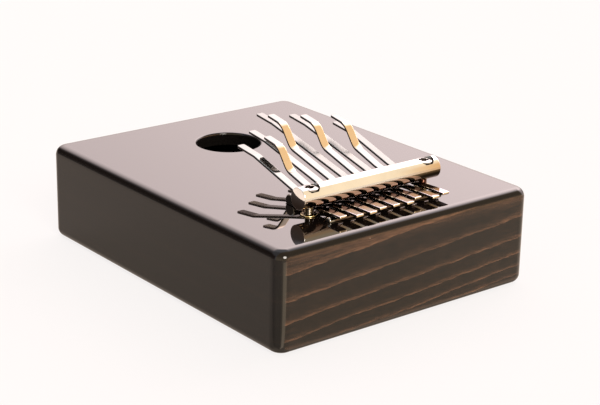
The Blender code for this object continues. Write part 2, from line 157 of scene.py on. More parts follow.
class KalimbaClamp(bpy.types.PropertyGroup):
    """Sizes and colours of the bar, its screws, their inserts and the bridges."""

    bar_crown: metres("Bar crown", "How far the bar's ends swell", 0.00035)
    bar_lean: radians("Bar lean", "How far the bar's ends face up", math.radians(2.5))
    bar_ease: metres("Bar ease", "Eased edge round the bar's ends", 0.0003)
    spot_face_radius: metres("Spot face", "Radius of the screw heads' flats", 0.0036)
    spot_face_depth: metres("Spot face depth", "Depth of the screw heads' flats", 0.0017)
    shank: metres("Shank", "Diameter of the screws", 0.003)
    head_height: metres("Head height", "Height of a screw head", 0.0008)
    head_rim: metres("Head rim", "Height of a screw head's rim", 0.0005)
    pitch: metres("Pitch", "Pitch of the screws' threads", 0.0005)
    thread_depth: metres("Thread depth", "Depth of the screws' threads", 0.00012)
    recess_span: metres("Recess span", "Length of the cross recess", 0.0037)
    recess_floor: metres("Recess floor", "Length of the cross at its floor", 0.0022)
    recess_arm: metres("Recess arm", "Width of the cross's arms", 0.0018)
    recess_depth: metres("Recess depth", "Depth of the cross recess", 0.001)
    insert_wall: metres("Insert wall", "Wall of the screw inserts", 0.0005)
    flange_thickness: metres("Flange", "Thickness of the inserts' flanges", 0.0008)
    bridge_end: metres("Bridge end", "Radius of the bridges' end edges", 0.0005)
    chrome: tint("Chrome", "Plating of the bar", (0.93, 0.92, 0.90))
    # Painted reflection: a warm tint on the bar's lower half, for the room that it mirrors
    warm_reflection_below: tint("Copper", "Copper on the bar's lower half", (0.97, 0.78, 0.63))
    # Painted shade under the bar
    shaded: tint("Bar underneath", "Dull plating under the bar", (0.45, 0.33, 0.25))
    worn_end: tint("Worn end", "Worn plating at the bar's right end", (0.70, 0.506, 0.315))
    # Dark steel: tarnish on the bar, and painted shade in the spot faces and the screws' recesses
    tarnish_and_recess_shade: tint("Machined steel", "Dark unplated or tarnished steel", (0.025, 0.020, 0.017))
    screw_steel: tint("Screw steel", "Plating of the screw heads", (0.42, 0.42, 0.41))
    # Painted highlight on the left screw's thread, where it faces the camera
    shank_highlight: tint("Shank steel", "Worn side of the left screw's thread", (0.66, 0.80, 1.0))
    thread_steel: tint("Thread", "Left screw's thread elsewhere", (0.14, 0.11, 0.07))
    rust: tint("Rust", "Rusted thread of the right screw", (0.10, 0.045, 0.03))
    rod_end: tint("Rod ends", "Bridges at their ends", (0.34, 0.32, 0.29))
    # Painted shade: the bridges between their ends, under the tines
    rod_shade: tint("Browned steel", "Bridges between their ends", (0.14, 0.10, 0.08))
    brass: tint("Brass", "Metal of the inserts", (0.70, 0.56, 0.30))


class KalimbaTines(bpy.types.PropertyGroup):
    """Sizes and colours of the tines."""

    thickness: metres("Thickness", "Thickness of the strip", 0.0009)
    edge: metres("Edge", "Radius of the strip's long edges", 0.0003)
    tip_corner: metres("Tip corner", "Radius of the playing end's corners", 0.001)
    tail_corner: metres("Tail corner", "Radius of the tail's corners", 0.0006)
    seat_gap: metres("Seat gap", "Gap from a tine to the bar or a bridge", 0.0003)
    pitch: metres("Pitch", "From one tine's middle to the next", 0.0057)
    # Painted light: the warm tint that steep faces take, by the way they face
    steel: tint("Spring steel", "Straw-coloured steep stretches", (0.86, 0.68, 0.48))
    # Painted shade on the level faces
    level_face_shade: tint("Level steel", "Polished steel of the blades", (0.148, 0.157, 0.150))
    # Painted light: undersides are lighter than the level tops
    underside: tint("Underside", "Steel underneath the blades", (0.85, 0.76, 0.71))
    # Painted shade: the tails' flat faces are dimmed and tinted, their edges are not
    tail_face_shade: tint("Tail tint", "Tempered steel of the tails' faces", (0.55, 0.48, 0.55))
    # Painted shade: the strip's sides, a band by the bar, and the undersides under it
    tine_shade: tint("Sheared edge", "Dark sides of the strip, as cut", (0.06, 0.05, 0.045))


class KalimbaStage(bpy.types.PropertyGroup):
    """Camera, light and floor."""

    camera_place: xyz("Camera place", "Where the camera stands", (-0.36352, -0.46428, 0.23053))
    camera_heading: radians("Camera heading", "Turn of the view from +Y, to the left", math.radians(-38.697))
    camera_tilt: radians("Camera tilt", "How far the view looks down", math.radians(19.4603))
    camera_roll: radians("Camera roll", "Turn of the picture about the view", math.radians(1.1136))
    lens: millimetres("Lens", "Focal length", 99.15)
    paper: tint("Paper", "White of the floor and the background", (0.945, 0.918, 0.912))
    paper_tooth: tint("Paper tooth", "Hollows in the paper", (0.9, 0.88, 0.87))
    paper_shade: tint("Paper in light", "Paper as light falls on it", (0.8, 0.78, 0.77))
    # Painted reflection: the floor's colour in gloss and metal
    mirrored_paper: tint("Mirrored paper", "Floor as gloss and metal show it", (0.92, 0.74, 0.60))
    overhead: light("Overhead light", "Soft white from above", (1.12, 1.14, 1.24))
    back_light: light("Back light", "Soft light behind the object", (3.63, 3.02, 2.97))
    back_low: light("Back light, low", "Foot of the back light", (1.16, 0.967, 0.943))
    front_light: light("Front light", "Warm room on the camera's side", (1.08, 0.86, 0.59))
    left_low: light("Left, low", "Light from the left at the floor", (0.50, 0.43, 0.38))
    left_light: light("Left side", "Dim side away from the light", (0.15, 0.12, 0.11))
    key_light: light("Key light", "Soft box near the camera", (24.0, 22.0, 20.0))
    key_side: xyz("Key direction", "Where the soft box stands", (-0.217, -0.823, 0.525))
    key_spread: radians("Key spread", "Half angle of the soft box", math.radians(11.0))


def both_ways(operation):
    """An operator as one Math node: its plain form and its reflected one."""
    return (lambda wire, other: wire.math(operation, wire, other),
            lambda wire, other: wire.math(operation, other, wire))


class Wire:
    """A shader socket that takes part in sums. node() adds any other kind of node to its tree."""

    def __init__(self, tree, socket=None):
        self.tree = tree
        self.socket = socket

    def node(self, kind, settings=None, inputs=None, output=0):
        """Adds a node, its settings first and then the values or links of its sockets."""
        added = self.tree.nodes.new(kind)
        for name, value in (settings or {}).items():
            setattr(added, name, value)
        for key, value in (inputs or {}).items():
            if isinstance(value, Wire):
                self.tree.links.new(value.socket, added.inputs[key])
            else:
                added.inputs[key].default_value = value
        return Wire(self.tree, added.outputs[output]) if added.outputs else None

    def out(self, name):
        """Another output of the same node."""
        return Wire(self.tree, self.socket.node.outputs[name])

    def math(self, operation, first, second=0.0):
        """One Math node."""
        return self.node("ShaderNodeMath", {"operation": operation}, {0: first, 1: second})

    __add__, __radd__ = both_ways("ADD")
    __sub__, __rsub__ = both_ways("SUBTRACT")
    __mul__, __rmul__ = both_ways("MULTIPLY")
    __truediv__, __rtruediv__ = both_ways("DIVIDE")
    __pow__, __rpow__ = both_ways("POWER")

    def __neg__(self):
        return self.math("MULTIPLY", self, -1.0)

    def __abs__(self):
        return self.math("ABSOLUTE", self)


def rise(value, low, high):
    """0 below low, 1 above high, and a smooth step between them."""
    return value.node(
        "ShaderNodeMapRange", {"interpolation_type": "SMOOTHSTEP"},
        {"Value": value, "From Min": low, "From Max": high})


def fall(value, low, high):
    """1 below low, 0 above high, and a smooth step between them."""
    return 1.0 - rise(value, low, high)


def mixed(factor, first, second):
    """A colour between two colours, each a wire or an (r, g, b) value."""
    colours = [c if isinstance(c, Wire) else (*c, 1.0) for c in (first, second)]
    return factor.node(
        "ShaderNodeMix", {"data_type": "RGBA"}, {0: factor, 6: colours[0], 7: colours[1]}, output=2)


def toned(colour, share):
    """An (r, g, b) value multiplied by a share."""
    return tuple(channel * share for channel in colour)


def vector_math(operation, first, second=(0, 0, 0), output="Vector", key=1):
    """One Vector Math node on a vector or colour wire."""
    return first.node("ShaderNodeVectorMath", {"operation": operation}, {0: first, key: second}, output)


def aligned(direction, way):
    """How far a direction points along a way, from -1 to 1."""
    return vector_math("DOT_PRODUCT", direction, way, "Value")


def frame_place(start):
    """The surface's place in the frame's own axes."""
    return start.node("ShaderNodeTexCoord", output="Object")


def facing(start):
    """The way that the surface faces."""
    return start.node("ShaderNodeNewGeometry", output="Normal")


def axes_of(vector):
    """The x, y and z of a vector wire."""
    x = vector.node("ShaderNodeSeparateXYZ", inputs={0: vector})
    return x, x.out("Y"), x.out("Z")


def noise(where, scale, detail=3.0, roughness=0.5):
    """Noise from 0 to 1, with features about 1 / scale across."""
    return where.node(
        "ShaderNodeTexNoise", {"noise_dimensions": "3D"},
        {"Vector": where, "Scale": scale, "Detail": detail, "Roughness": roughness})


def grain(where, stretch, detail=3.0, roughness=0.6):
    """Noise drawn out into fibres or marks, about 1 / stretch long on each axis."""
    return noise(vector_math("MULTIPLY", where, stretch), 1.0, detail, roughness)


def bumped(height, strength, distance):
    """A normal from a height map, the distance in metres."""
    return height.node(
        "ShaderNodeBump", inputs={"Height": height, "Strength": strength, "Distance": distance})


def finish(name, shader_of, settings):
    """The named material, built by its function the first time it is asked for."""
    made = bpy.data.materials.get(name)
    if made:
        return made
    made = bpy.data.materials.new(name)
    made.use_nodes = True
    made.node_tree.nodes.clear()
    start = Wire(made.node_tree)
    start.node("ShaderNodeOutputMaterial", inputs={"Surface": shader_of(start, settings)})
    return made


# Growth rings: layers that rise to the right, closer together towards the underside
RING_TILT = 0.077
RING_CREST = 0.0285
RING_FLOOR = 0.017
RING_COUNT = 4.06
RING_LEFT = -0.05275
RING_SWAY = 0.0045
RING_RIPPLE = 0.0011
RING_SHARPNESS = 8.0

# Where the stain is rubbed thin, and its rim: down from the top, and up from the underside
RUBBED_TOP = (0.0022, 0.0072)
RUBBED_FOOT = (0.0010, 0.0042)
RIM_TOP = (0.0036, 0.0043)
RIM_FOOT = (0.0026, 0.0034)

# Pores in a metre
PORE_SCALE = 210.0


def wood_rings(where):
    """Brightness of the growth rings, 0 to 1: each has a sharp lower edge and fades upwards."""
    x, _, z = axes_of(where)
    slow = grain(where, (22.0, 3.3, 22.0), 2.0, 0.5)
    quick = grain(where, (260.0, 26.0, 416.0), roughness=0.5)
    height = z - (x - RING_LEFT) * RING_TILT + (slow - 0.5) * RING_SWAY + (quick - 0.5) * RING_RIPPLE
    depth = (height + RING_FLOOR) / (RING_CREST + RING_FLOOR)
    phase = where.math("FRACT", where.math("LOGARITHM", depth, math.e) * -RING_COUNT)
    return (phase ** RING_SHARPNESS) * fall(phase, 0.97, 1.0)


def lacquered_wood(start, box):
    """Dark stained wood under gloss lacquer, with end grain on the near and far faces."""
    where = frame_place(start)
    _, _, z = axes_of(where)
    facing_x, facing_y, facing_z = (abs(part) for part in axes_of(facing(start)))
    end_grain = rise(facing_y, 0.86, 0.93) * fall(facing_x, 0.37, 0.47)
    top = rise(facing_z, 0.30, 0.60)
    edge = top * fall(facing_z, 0.75, 0.88)
    side = rise(facing_x, 0.80, 0.95)

    patches = grain(where, (38.0, 9.5, 57.0), 2.0, 0.5)
    fibres = grain(where, (160.0, 14.0, 1400.0), 4.0)
    streaks = rise(fibres, 0.30, 0.70)
    rubbed = fall(TOP_Z - z, *RUBBED_TOP) + fall(z, *RUBBED_FOOT) * 0.5
    rim = fall(TOP_Z - z, *RIM_TOP) + fall(z, *RIM_FOOT)
    amount = wood_rings(where) * (0.15 + patches * 0.9) * (0.35 + streaks * 0.8) + streaks * patches * 0.10
    amount = amount + rubbed * (0.05 + patches * 0.2) * (0.5 + streaks * 0.6) + rim * patches * 0.1
    amount = start.node("ShaderNodeClamp", inputs={"Value": amount * (0.04 + end_grain * 0.96)})
    colour = mixed(amount, box.wood_dark, box.wood_ring)
    colour = mixed(top * 0.8, colour, box.wood_top)

    along = vector_math("MULTIPLY", where, (1.0, 0.02, 1.0))
    pores = start.node("ShaderNodeTexVoronoi", {"feature": "F1"}, {"Vector": along, "Scale": PORE_SCALE})
    chance, _, _ = axes_of(pores.out("Color"))
    speck = fall(pores, 0.02, 0.05) * rise(chance, 0.80, 0.82) * end_grain
    return start.node("ShaderNodeBsdfPrincipled", inputs={
        "Base Color": mixed(speck * 0.7, colour, box.wood_speck),
        "Roughness": 0.42 + fibres * 0.15,
        "Specular IOR Level": 0.0,
        "Normal": bumped(fibres, 0.08, 0.0002),
        "Coat Weight": 1.0 - start.math("MAXIMUM", edge * 0.5, side * 0.35),
        "Coat Roughness": 0.02,
        "Coat IOR": 1.5,
    })


def inside_wood(start, box):
    """Matt stained wood of the chamber."""
    fibres = grain(frame_place(start), (500.0, 18.0, 900.0), 4.0)
    return start.node("ShaderNodeBsdfPrincipled", inputs={
        "Base Color": mixed(fibres, box.inside, toned(box.inside, 2.2)),
        "Roughness": 0.65 + fibres * 0.2,
        "Specular IOR Level": 0.0,
        "Normal": bumped(fibres, 0.3, 0.0004),
    })


def bare_wood(start, box):
    """Unfinished wood, with its grain along the brace."""
    where = frame_place(start)
    bands = grain(where, (12.0, 260.0, 260.0), roughness=0.5)
    fibres = grain(where, (60.0, 1800.0, 1800.0), 4.0)
    return start.node("ShaderNodeBsdfPrincipled", inputs={
        "Base Color": mixed(bands * 0.6 + fibres * 0.4, toned(box.bare, 0.55), box.bare),
        "Roughness": 0.55 + fibres * 0.2,
        "Normal": bumped(fibres, 0.25, 0.0003),
    })


# Metal finishes: marks and smears, and the places, heights and ways between which a finish, a painted shade
# or a painted highlight changes
MARK_DEPTH = 0.00002
SMEAR_SCALE = 140.0
FINE_SCALE = 900.0
DULLED = 0.90
BAR_WORN = (0.005, 0.034)
BAR_TARNISHED = (0.017, 0.024)
BRIDGE_END_FROM = (0.0235, 0.0245)
RIGHT_SCREW = (-0.01, 0.01)
HEAD_FROM = (0.0, 0.001)
# Heights above a spot face's flat where its painted shade gives way to plating
SPOT_FACE_SHADE_TO = (0.0006, 0.0009)
# The way, towards the camera, that the left thread faces where its painted highlight falls
SHANK_HIGHLIGHT_WAY = Vector((-0.625, -0.780, 0.0))


def metal(colour, roughness, relief=None, strength=0.03):
    """A bare metal, with relief from a height map where one is given."""
    inputs = {"Base Color": colour, "Metallic": 1.0, "Roughness": roughness}
    if relief:
        inputs["Normal"] = bumped(relief, strength, MARK_DEPTH)
    return colour.node("ShaderNodeBsdfPrincipled", inputs=inputs)


def smeared(where, colour):
    """Soft smears on polished metal, and its colour with them."""
    smears = noise(where, SMEAR_SCALE)
    return smears, mixed(rise(smears, 0.35, 0.75), colour, toned(colour, DULLED))


def bar_plating(start, clamp):
    """Chrome polished round the bar, with a painted warm reflection on its lower half and painted shade
    underneath, and wear at the right end.
    """
    where = frame_place(start)
    x, _, _ = axes_of(where)
    below = -axes_of(facing(start))[2]
    marks = grain(where, (2600.0, 90.0, 90.0))
    smears, colour = smeared(where, clamp.chrome)
    # Painted reflection: the lower half takes a warm tint
    colour = mixed(rise(below, -0.15, 0.15), colour, clamp.warm_reflection_below)
    colour = mixed(rise(x, *BAR_WORN) * rise(below, -0.75, -0.45), colour, clamp.worn_end)
    colour = mixed(rise(x, *BAR_TARNISHED) * rise(below, 0.05, 0.30) * 0.75, colour, clamp.tarnish_and_recess_shade)
    # Painted shade on the underside
    colour = mixed(rise(below, 0.62, 0.74) * 0.95, colour, clamp.shaded)
    return metal(colour, 0.03 + smears * 0.018 + marks * 0.015, marks)


def bridge_metal(start, clamp):
    """Rods that are plated at their ends and painted darker between them, as shade under the tines."""
    where = frame_place(start)
    smears = noise(where, SMEAR_SCALE)
    # Painted shade between the rod ends
    colour = mixed(rise(abs(axes_of(where)[0]), *BRIDGE_END_FROM), clamp.rod_shade, clamp.rod_end)
    return metal(colour, 0.04 + smears * 0.05, smears, 0.02)


def screw_metal(start, clamp):
    """Plated heads on dull threads: the left one with a painted highlight on the side that faces the camera,
    the right one rusted.
    """
    where = frame_place(start)
    x, _, z = axes_of(where)
    smears = noise(where, FINE_SCALE)
    # Painted highlight where the thread faces the camera
    painted_highlight = rise(aligned(facing(start), SHANK_HIGHLIGHT_WAY), 0.90, 0.96)
    shank = mixed(painted_highlight, clamp.thread_steel, clamp.shank_highlight)
    shank = mixed(rise(x, *RIGHT_SCREW), shank, clamp.rust)
    colour = mixed(rise(z - BAR.z, *HEAD_FROM), shank, clamp.screw_steel)
    return metal(colour, 0.08 + smears * 0.08, smears, 0.02)


def spot_face_metal(start, clamp):
    """Steel painted dark at the bottom of a spot face as shade there, and plated above."""
    where = frame_place(start)
    marks = grain(where, (300.0, 300.0, 9000.0))
    above = axes_of(where)[2] - (BAR.z + BAR_RADIUS - clamp.spot_face_depth)
    colour = mixed(rise(above, *SPOT_FACE_SHADE_TO), clamp.tarnish_and_recess_shade, clamp.chrome)
    return metal(colour, 0.15 + marks * 0.15, marks)


def recess_metal(start, clamp):
    """Steel painted dark as the shade in a driver recess."""
    marks = noise(frame_place(start), FINE_SCALE, roughness=0.6)
    return metal(mixed(marks, clamp.tarnish_and_recess_shade, toned(clamp.tarnish_and_recess_shade, DULLED)), 0.38 + marks * 0.15, marks)


def turned_brass(start, clamp):
    """Brass that is bright on its rims, with painted shade on its upward faces."""
    marks = grain(frame_place(start), (900.0, 900.0, 2600.0))
    # Painted shade on faces that point up
    face = rise(axes_of(facing(start))[2], 0.80, 0.97)
    colour = mixed(face * (0.7 + marks * 0.3), clamp.brass, toned(clamp.brass, 0.14))
    return metal(colour, 0.10 + marks * 0.08, marks)


# Where along Y from the bar the tines' painted tint, painted shade and finish change, and where the brushed
# blades begin along X
TAIL_TO = (-0.003, 0.0)
BAR_SHADE_FROM = (-0.0145, -0.003)
BAR_SHADE_TO = (0.0, 0.002)
SHADED_TO = (0.0, 0.004)
BRUSHED_FROM = (-0.003, -0.002)


def strip_steel(start, tines):
    """Polished strip whose colour is painted by the way each face turns: a warm yellow tint on steep
    stretches, painted shade on level ones and a lighter tone underneath, with painted shade on its sides, by
    the bar and on the tails' faces.
    """
    where = frame_place(start)
    x, y, _ = axes_of(where)
    ahead = y - BAR.y
    facing_x, facing_y, facing_z = axes_of(facing(start))
    side = rise(abs(facing_x), 0.60, 0.90)
    marks = grain(where, (2400.0, 40.0, 2400.0))
    smears, steep_face_tint = smeared(where, tines.steel)
    # Painted light and shade: steep faces take the warm tint, level faces the darker colour
    colour = mixed(rise(-facing_y, 0.33, 0.42), tines.level_face_shade, steep_face_tint)
    # Painted shade on the tails' flat faces
    colour = mixed(fall(ahead, *TAIL_TO) * rise(abs(facing_z), 0.90, 0.985), colour, tines.tail_face_shade)
    # Painted shade in a band on the tail side of the bar, up to just past its axis
    colour = mixed(rise(ahead, *BAR_SHADE_FROM) * fall(ahead, *BAR_SHADE_TO) * 0.4, colour, tines.tine_shade)
    # Painted shade on the strip's sides
    colour = mixed(side, colour, tines.tine_shade)
    shaded = fall(ahead, *SHADED_TO)
    # Painted shade on the undersides under the bar
    under = mixed(shaded, tines.underside, tines.tine_shade)
    every_other = rise(start.math("COSINE", x * (math.pi / tines.pitch)), 0.0, 0.5)
    brushed = every_other * rise(x, *BRUSHED_FROM) * (1.0 - shaded)
    roughness = 0.05 + smears * 0.03 + marks * 0.02 + side * 0.15 + brushed * 0.2
    # Painted light: faces that point down take the lighter underside colour
    return metal(mixed(rise(-facing_z, 0.10, 0.50), colour, under), roughness)


def loft(rings):
    """A closed bmesh through rings of equal length, with flat ends."""
    built = bmesh.new()
    rows = [[built.verts.new(point) for point in ring] for ring in rings]
    count = len(rows[0])
    for lower, upper in zip(rows, rows[1:]):
        for i in range(count):
            j = (i + 1) % count
            built.faces.new((lower[i], lower[j], upper[j], upper[i]))
    built.faces.new(rows[0][::-1])
    built.faces.new(rows[-1])
    return built


CORNERS = ((1, 1), (-1, 1), (-1, -1), (1, -1))


def rounded(radius, centre, start, end, steps=EDGE_STEPS):
    """Points round an arc between two angles in degrees."""
    angles = [math.radians(start + (end - start) * step / steps) for step in range(steps + 1)]
    return [(centre[0] + radius * math.cos(a), centre[1] + radius * math.sin(a)) for a in angles]


def rounded_outline(width, length, radius, steps):
    """(x, y) points of a rectangle with round corners, anticlockwise."""
    points = []
    for quarter, (sx, sy) in enumerate(CORNERS):
        centre = (sx * (width / 2 - radius), sy * (length / 2 - radius))
        points += rounded(radius, centre, 90 * quarter, 90 * (quarter + 1), steps)
    return points


def plate(width, length, radius, low, high):
    """A flat plate with round corners between two heights."""
    outline = rounded_outline(width, length, radius, CORNER_STEPS)
    return loft([[(*point, z) for point in outline] for z in (low, high)])


def turned(profile, place, sides=TURNED_SIDES):
    """A solid turned about an upright axis, from (radius, height) points, bottom to top."""
    rings = []
    for radius, z in profile:
        angles = [2 * math.pi * i / sides for i in range(sides)]
        rings.append([(place[0] + radius * math.cos(a), place[1] + radius * math.sin(a), z) for a in angles])
    return loft(rings)


def stepped_bore(narrow, wide, low, seat, high):
    """(radius, height) points of a hole that widens at a seat."""
    return ((narrow, low), (narrow, seat), (wide, seat), (wide, high))


def moved(built, turn, axis, place):
    """The bmesh turned about an axis through the origin, then moved to a place."""
    bmesh.ops.rotate(built, verts=built.verts, matrix=Matrix.Rotation(turn, 3, axis))
    bmesh.ops.translate(built, verts=built.verts, vec=place)
    return built


def laid_along_x(profile, place):
    """A solid turned from (radius, x) points about an axis along X through a place."""
    return moved(turned(profile, (0, 0), ROD_SIDES), math.pi / 2, "Y", place)


def rod(place, length, diameter, end_round):
    """A rod along X with rounded ends, centred on a place."""
    inner, edge = diameter / 2 - end_round, length / 2 - end_round
    profile = rounded(end_round, (inner, -edge), -90, 0) + rounded(end_round, (inner, edge), 0, 90)
    return laid_along_x(profile, place)


def crowned_end(radius, length, crown, ease):
    """(radius, distance along) points of a rod's eased end, from its middle out."""
    inner, shoulder = radius - ease, length / 2 - crown
    shares = [step / CROWN_STEPS for step in range(1, CROWN_STEPS)]
    face = [(inner * share, shoulder + crown * (1 - share * share)) for share in shares]
    return face + rounded(ease, (inner, shoulder - ease), 90, 0)


def crowned_rod(place, clamp, length, radius, stops):
    """A rod along X with crowned, eased ends that face up, and sections at the stops."""
    end = crowned_end(radius, length, clamp.bar_crown, clamp.bar_ease)
    profile = [(out, -along) for out, along in end] + [(radius, x) for x in sorted(stops)] + end[::-1]
    built = laid_along_x(profile, place)
    for vert in built.verts:
        along, up = vert.co.x - place.x, vert.co.z - place.z
        if abs(along) > max(stops):
            vert.co.x -= math.copysign(math.tan(clamp.bar_lean), along) * up
    return built


def make_piece(name, built, material, smooth_angle=SMOOTH_ANGLE):
    """A new object from a filled bmesh, shaded smooth up to an angle."""
    bmesh.ops.recalc_face_normals(built, faces=built.faces)
    mesh = bpy.data.meshes.new(name)
    built.to_mesh(mesh)
    built.free()
    mesh.materials.append(material)
    mesh.shade_smooth()
    mesh.set_sharp_from_angle(angle=math.radians(smooth_angle))
    piece = bpy.data.objects.new(name, mesh)
    bpy.context.scene.collection.objects.link(piece)
    return piece


def cut_away(piece, built, material):
    """Takes a shape out of the piece and gives the cut faces a material."""
    cutter = make_piece("cutter", built, material)
    difference = piece.modifiers.new("cut", "BOOLEAN")
    difference.operation = "DIFFERENCE"
    difference.solver = "EXACT"
    difference.material_mode = "TRANSFER"
    difference.object = cutter
    evaluated = piece.evaluated_get(bpy.context.evaluated_depsgraph_get())
    carved = bpy.data.meshes.new_from_object(evaluated)
    piece.modifiers.clear()
    whole, piece.data = piece.data, carved
    carved.name = piece.name
    carved.set_sharp_from_angle(angle=math.radians(SMOOTH_ANGLE))
    for mesh in (whole, cutter.data):
        bpy.data.meshes.remove(mesh)


def even_shading(piece):
    """Keeps flat faces flat where they run into rounded edges."""
    shading = piece.modifiers.new("even_shading", "WEIGHTED_NORMAL")
    shading.keep_sharp = True


# How closely a face has to point out from the axis to count as round
ROUND_LIMIT = 0.9995


def round_shading(piece, axis):
    """Points a rod's normals straight out from its axis, so that cuts don't dent its shine."""
    def outward(point):
        return Vector((0, point.y - axis.y, point.z - axis.z)).normalized()

    mesh = piece.data
    normals = [corner.vector.copy() for corner in mesh.corner_normals]
    for polygon in mesh.polygons:
        if polygon.normal.dot(outward(polygon.center)) < ROUND_LIMIT:
            continue
        for loop in polygon.loop_indices:
            normals[loop] = outward(mesh.vertices[mesh.loops[loop].vertex_index].co)
    mesh.normals_split_custom_set(normals)


def settle(piece, slot, *nodes):
    """Sets a fixed piece in the place of its CAD nodes."""
    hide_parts(*nodes)
    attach(piece, FIXED_BODY)


class KALIMBA_OT_sound_box(bpy.types.Operator):
    """Make the hollowed box with its sound hole, grooves and screw holes"""

    bl_idname = "kalimba.sound_box"
    bl_label = "Sound box"

    def execute(self, context):
        box, clamp = context.scene.kalimba_box, context.scene.kalimba_clamp
        lacquer = finish("dark_lacquer", lacquered_wood, box)
        matt = finish("chamber_wood", inside_wood, box)
        size = extent("sound_box")
        foot, crown = box.bottom_edge, box.top_edge
        levels = rounded(foot, (foot, foot), 270, 180) + rounded(crown, (crown, TOP_Z - crown), 180, 90)
        rings = []
        for inset, z in levels:
            sides = (size.x - 2 * inset, size.y - 2 * inset)
            outline = rounded_outline(*sides, box.corner_radius - inset, CORNER_STEPS)
            rings.append([(*point, z) for point in outline])
        piece = make_piece("lacquered_box", loft(rings), lacquer)

        ceiling = TOP_Z - box.top_thickness
        chamber = (size.x - 2 * box.wall, size.y - 2 * box.wall)
        cut_away(piece, plate(*chamber, box.cavity_corner, -CUT_MARGIN, ceiling), matt)
        around = 2 * box.clearance
        back = extent("back_plate")
        ledge = (back.x + around, back.y + around)
        ledge_corner = box.cavity_corner + (ledge[0] - chamber[0]) / 2
        cut_away(piece, plate(*ledge, ledge_corner, -CUT_MARGIN, back.z + box.clearance), matt)

        hole_radius, lip = box.hole_diameter / 2, box.hole_lip
        flare = rounded(lip, (hole_radius + lip, TOP_Z - lip), LIP_START, 90)
        flare.append((hole_radius + lip, TOP_Z + CUT_MARGIN))
        bore = ((hole_radius, ceiling - CUT_MARGIN), (hole_radius, TOP_Z + CUT_MARGIN))
        for profile, material in ((flare, lacquer), (bore, matt)):
            cut_away(piece, turned(profile, (0, size.y / 2 - box.hole_setback)), material)
        for node in BRIDGES:
            sides = extent(node)
            groove = rod(middle(node), sides.x + around, sides.z + around, clamp.bridge_end)
            cut_away(piece, groove, lacquer)
        for side in SIDES:
            node = f"screw_insert_{side}"
            bore = clamp.shank / 2 + around + clamp.insert_wall
            recess = extent(node).x / 2 + box.clearance
            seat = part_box(node)[1].z - clamp.flange_thickness - box.clearance
            profile = stepped_bore(bore, recess, ceiling - CUT_MARGIN, seat, TOP_Z + CUT_MARGIN)
            cut_away(piece, turned(profile, middle(node)), lacquer)
        even_shading(piece)
        settle(piece, "lacquered_wood", "sound_box")
        return {"FINISHED"}


class KALIMBA_OT_hidden_wood(bpy.types.Operator):
    """Finish the back plate and the brace, whose solids are kept"""

    bl_idname = "kalimba.hidden_wood"
    bl_label = "Back plate and brace"

    def execute(self, context):
        for node, name, wood in (
            ("back_plate", "dark_lacquer", lacquered_wood),
            ("bridge_brace", "brace_wood", bare_wood),
        ):
            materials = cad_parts[node].data.materials
            materials.clear()
            materials.append(finish(name, wood, context.scene.kalimba_box))
        return {"FINISHED"}


# The bar's sections beside each screw stand this many spot-face radii from it
STOP_SPREAD = 1.3


class KALIMBA_OT_pressure_bar(bpy.types.Operator):
    """Make the round bar with its spot faces and screw holes"""

    bl_idname = "kalimba.pressure_bar"
    bl_label = "Pressure bar"

    def execute(self, context):
        clamp = context.scene.kalimba_clamp
        plating = finish("bar_chrome", bar_plating, clamp)
        shaded_spot_face = finish("shaded_spot_face", spot_face_metal, clamp)
        screws = [middle(f"bar_screw_{side}").x for side in SIDES]
        stops = [x + side * STOP_SPREAD * clamp.spot_face_radius for x in screws for side in (-1, 1)]
        swell = (BAR_RADIUS * math.tan(clamp.bar_lean)) ** 2 / (4 * clamp.bar_crown)
        built = crowned_rod(BAR, clamp, extent("pressure_bar").x - 2 * swell, BAR_RADIUS, stops)
        piece = make_piece("chrome_bar", built, plating)
        hole = clamp.shank / 2 + context.scene.kalimba_box.clearance
        flat = BAR.z + BAR_RADIUS - clamp.spot_face_depth
        reach = BAR_RADIUS + CUT_MARGIN
        profile = stepped_bore(hole, clamp.spot_face_radius, BAR.z - reach, flat, BAR.z + reach)
        for x in screws:
            cut_away(piece, turned(profile, (x, BAR.y)), shaded_spot_face)
        round_shading(piece, BAR)
        settle(piece, "chrome", "pressure_bar")
        return {"FINISHED"}


def threaded(clamp, low, high):
    """Profile points of a thread with rounded crests and roots, between two heights."""
    turns = math.ceil((high - low) / clamp.pitch) + 2
    points = []
    for step in range(turns * THREAD_STEPS + 1):
        wave = (1 - math.cos(2 * math.pi * step / THREAD_STEPS)) / 2
        height = low + clamp.pitch * (step / THREAD_STEPS - 1)
        points.append((clamp.shank / 2 - clamp.thread_depth * wave, height))
    return points


def recess_arm(clamp, place, top, turn):
    """One arm of a cross recess: a slot across the head that narrows towards its floor."""
    widening = (clamp.recess_span - clamp.recess_floor) / clamp.recess_depth
    rings = []
    for z, span in (
        (top - clamp.recess_depth, clamp.recess_floor),
        (top + CUT_MARGIN, clamp.recess_span + widening * CUT_MARGIN),
    ):
        rings.append([(sx * span / 2, sy * clamp.recess_arm / 2, z) for sx, sy in CORNERS])
    return moved(loft(rings), turn, "Z", (place.x, place.y, 0))


# Turn of each screw's recess, in degrees
RECESS_TURNS = (-12, -39)


